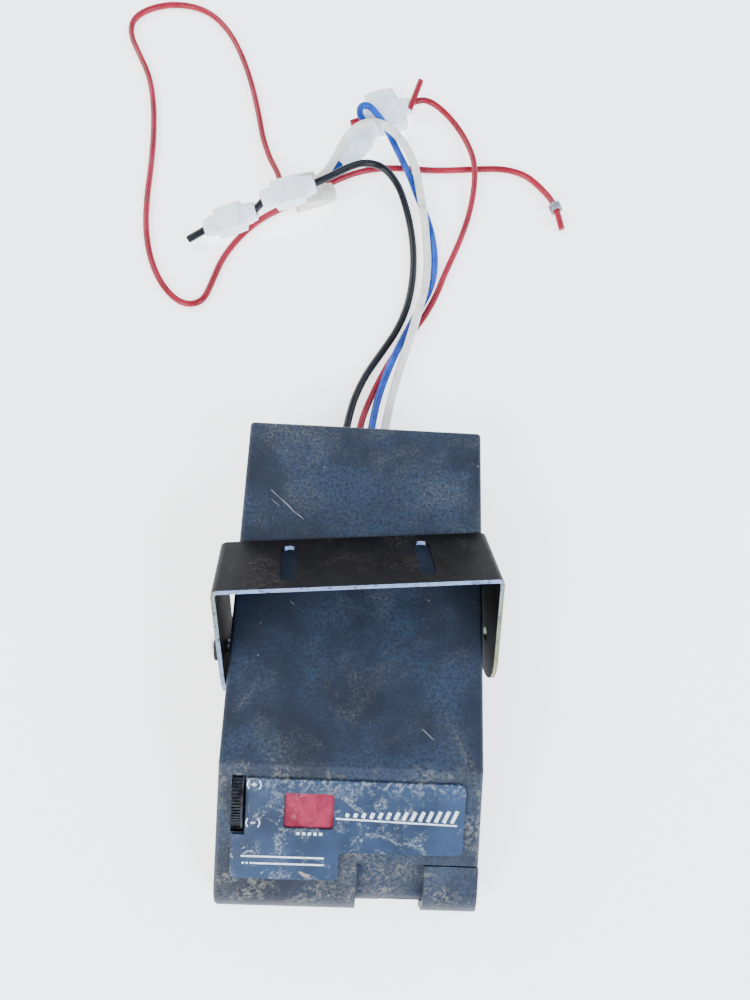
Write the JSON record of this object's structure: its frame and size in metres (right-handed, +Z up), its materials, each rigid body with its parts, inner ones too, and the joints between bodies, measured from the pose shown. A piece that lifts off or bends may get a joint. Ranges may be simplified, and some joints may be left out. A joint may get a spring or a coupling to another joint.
{
  "type": "trailer brake controller",
  "caption": "Dash-mounted brake control box with a swinging U bracket, display window, gain thumbwheel, sliding manual lever and spliced wire tails",
  "frame": {"origin": "on the ground under the middle of the footprint of the box, its bracket and the bracket's screw, the wires left out", "axes": "+X across the box to the right as its user sees the control face, +Y from the control face to the wires, +Z up"},
  "size_m": [0.2256, 0.4259, 0.059],
  "materials": {
    "case": "black textured ABS that reads blue-grey, dusty",
    "panel": "printed film over ABS, scuffed",
    "lens": "red translucent display window",
    "display": "two-digit display module",
    "circuit_board": "glass-fibre board with solder mask",
    "wheel": "ribbed black nylon",
    "plated_steel": "zinc-plated steel",
    "component_black": "moulded epoxy",
    "carrier": "natural acetal",
    "bracket_coating": "thin black coating over zinc-plated steel, worn at the edges",
    "washer": "dark fibre washer",
    "brass": "turned brass",
    "terminal_green": "moulded terminal block",
    "aluminium": "extruded aluminium",
    "relay_blue": "moulded relay case",
    "ribbon": "flat flexible lead",
    "grommet": "moulded rubber",
    "insulation_black": "PVC wire insulation",
    "insulation_white": "PVC wire insulation, dirty near its connector",
    "insulation_blue": "PVC wire insulation",
    "insulation_red": "PVC wire insulation",
    "nylon": "natural nylon",
    "nylon_aged": "natural nylon, yellowed",
    "crimp_nut": "grey crimp nut"
  },
  "bodies": {
    "housing": {"upper_housing": "case", "lower_housing": "case", "face_panel": "panel", "display_lens": "lens", "display_module": "display", "display_board": "circuit_board", "gain_potentiometer": "component_black", "slide_guide_rod": "plated_steel", "slide_potentiometer": "component_black", "bracket_screw": "plated_steel", "screw_washer": "washer", "thread_inserts": "brass", "case_screws": "plated_steel", "main_board": "circuit_board", "board_screws": "plated_steel", "terminal_header": "terminal_green", "terminal_screws": "plated_steel", "heat_sink": "aluminium", "power_transistors": "component_black", "controller_chip": "component_black", "capacitors": "aluminium", "lamp_relay": "relay_blue", "board_link": "ribbon", "wire_grommet": "grommet", "wire_black": "insulation_black", "wire_white": "insulation_white", "wire_blue": "insulation_blue", "wire_red": "insulation_red", "red_lead": "insulation_red", "black_link": "insulation_black", "black_stub": "insulation_black", "blue_stub": "insulation_blue", "red_stub_long": "insulation_red", "red_stub_short": "insulation_red", "lead_nut": "crimp_nut", "splice_a": "nylon", "splice_cap_a": "nylon", "splice_blade_a": "plated_steel", "splice_b": "nylon", "splice_cap_b": "nylon", "splice_blade_b": "plated_steel", "splice_c": "nylon_aged", "splice_cap_c": "nylon_aged", "splice_blade_c": "plated_steel", "splice_d": "nylon", "splice_cap_d": "nylon", "splice_blade_d": "plated_steel", "splice_e": "nylon", "splice_cap_e": "nylon", "splice_blade_e": "plated_steel"},
    "bracket": {"bracket": "bracket_coating"},
    "gain_wheel": {"gain_thumbwheel": "wheel", "gain_shaft": "plated_steel"},
    "manual_slide": {"slide_knob": "case", "slide_carrier": "carrier"}
  },
  "joints": [
    {"name": "bracket_tilt", "type": "hinge", "parent": "housing", "child": "bracket", "pos_m": [-0.04688, 0.0011, 0.0233], "axis": [1, 0, 0], "range_deg": [0, 90]},
    {"name": "gain_wheel_turn", "type": "hinge", "parent": "housing", "child": "gain_wheel", "pos_m": [-0.03648, -0.04797, 0.02055], "axis": [1, 0, 0], "range_deg": [-20, 250]},
    {"name": "manual_slide_travel", "type": "slide", "parent": "housing", "child": "manual_slide", "axis": [-1, 0, 0], "range_m": [0, 0.021], "stiffness_N_per_m": 120, "springref_m": -0.004}
  ]
}
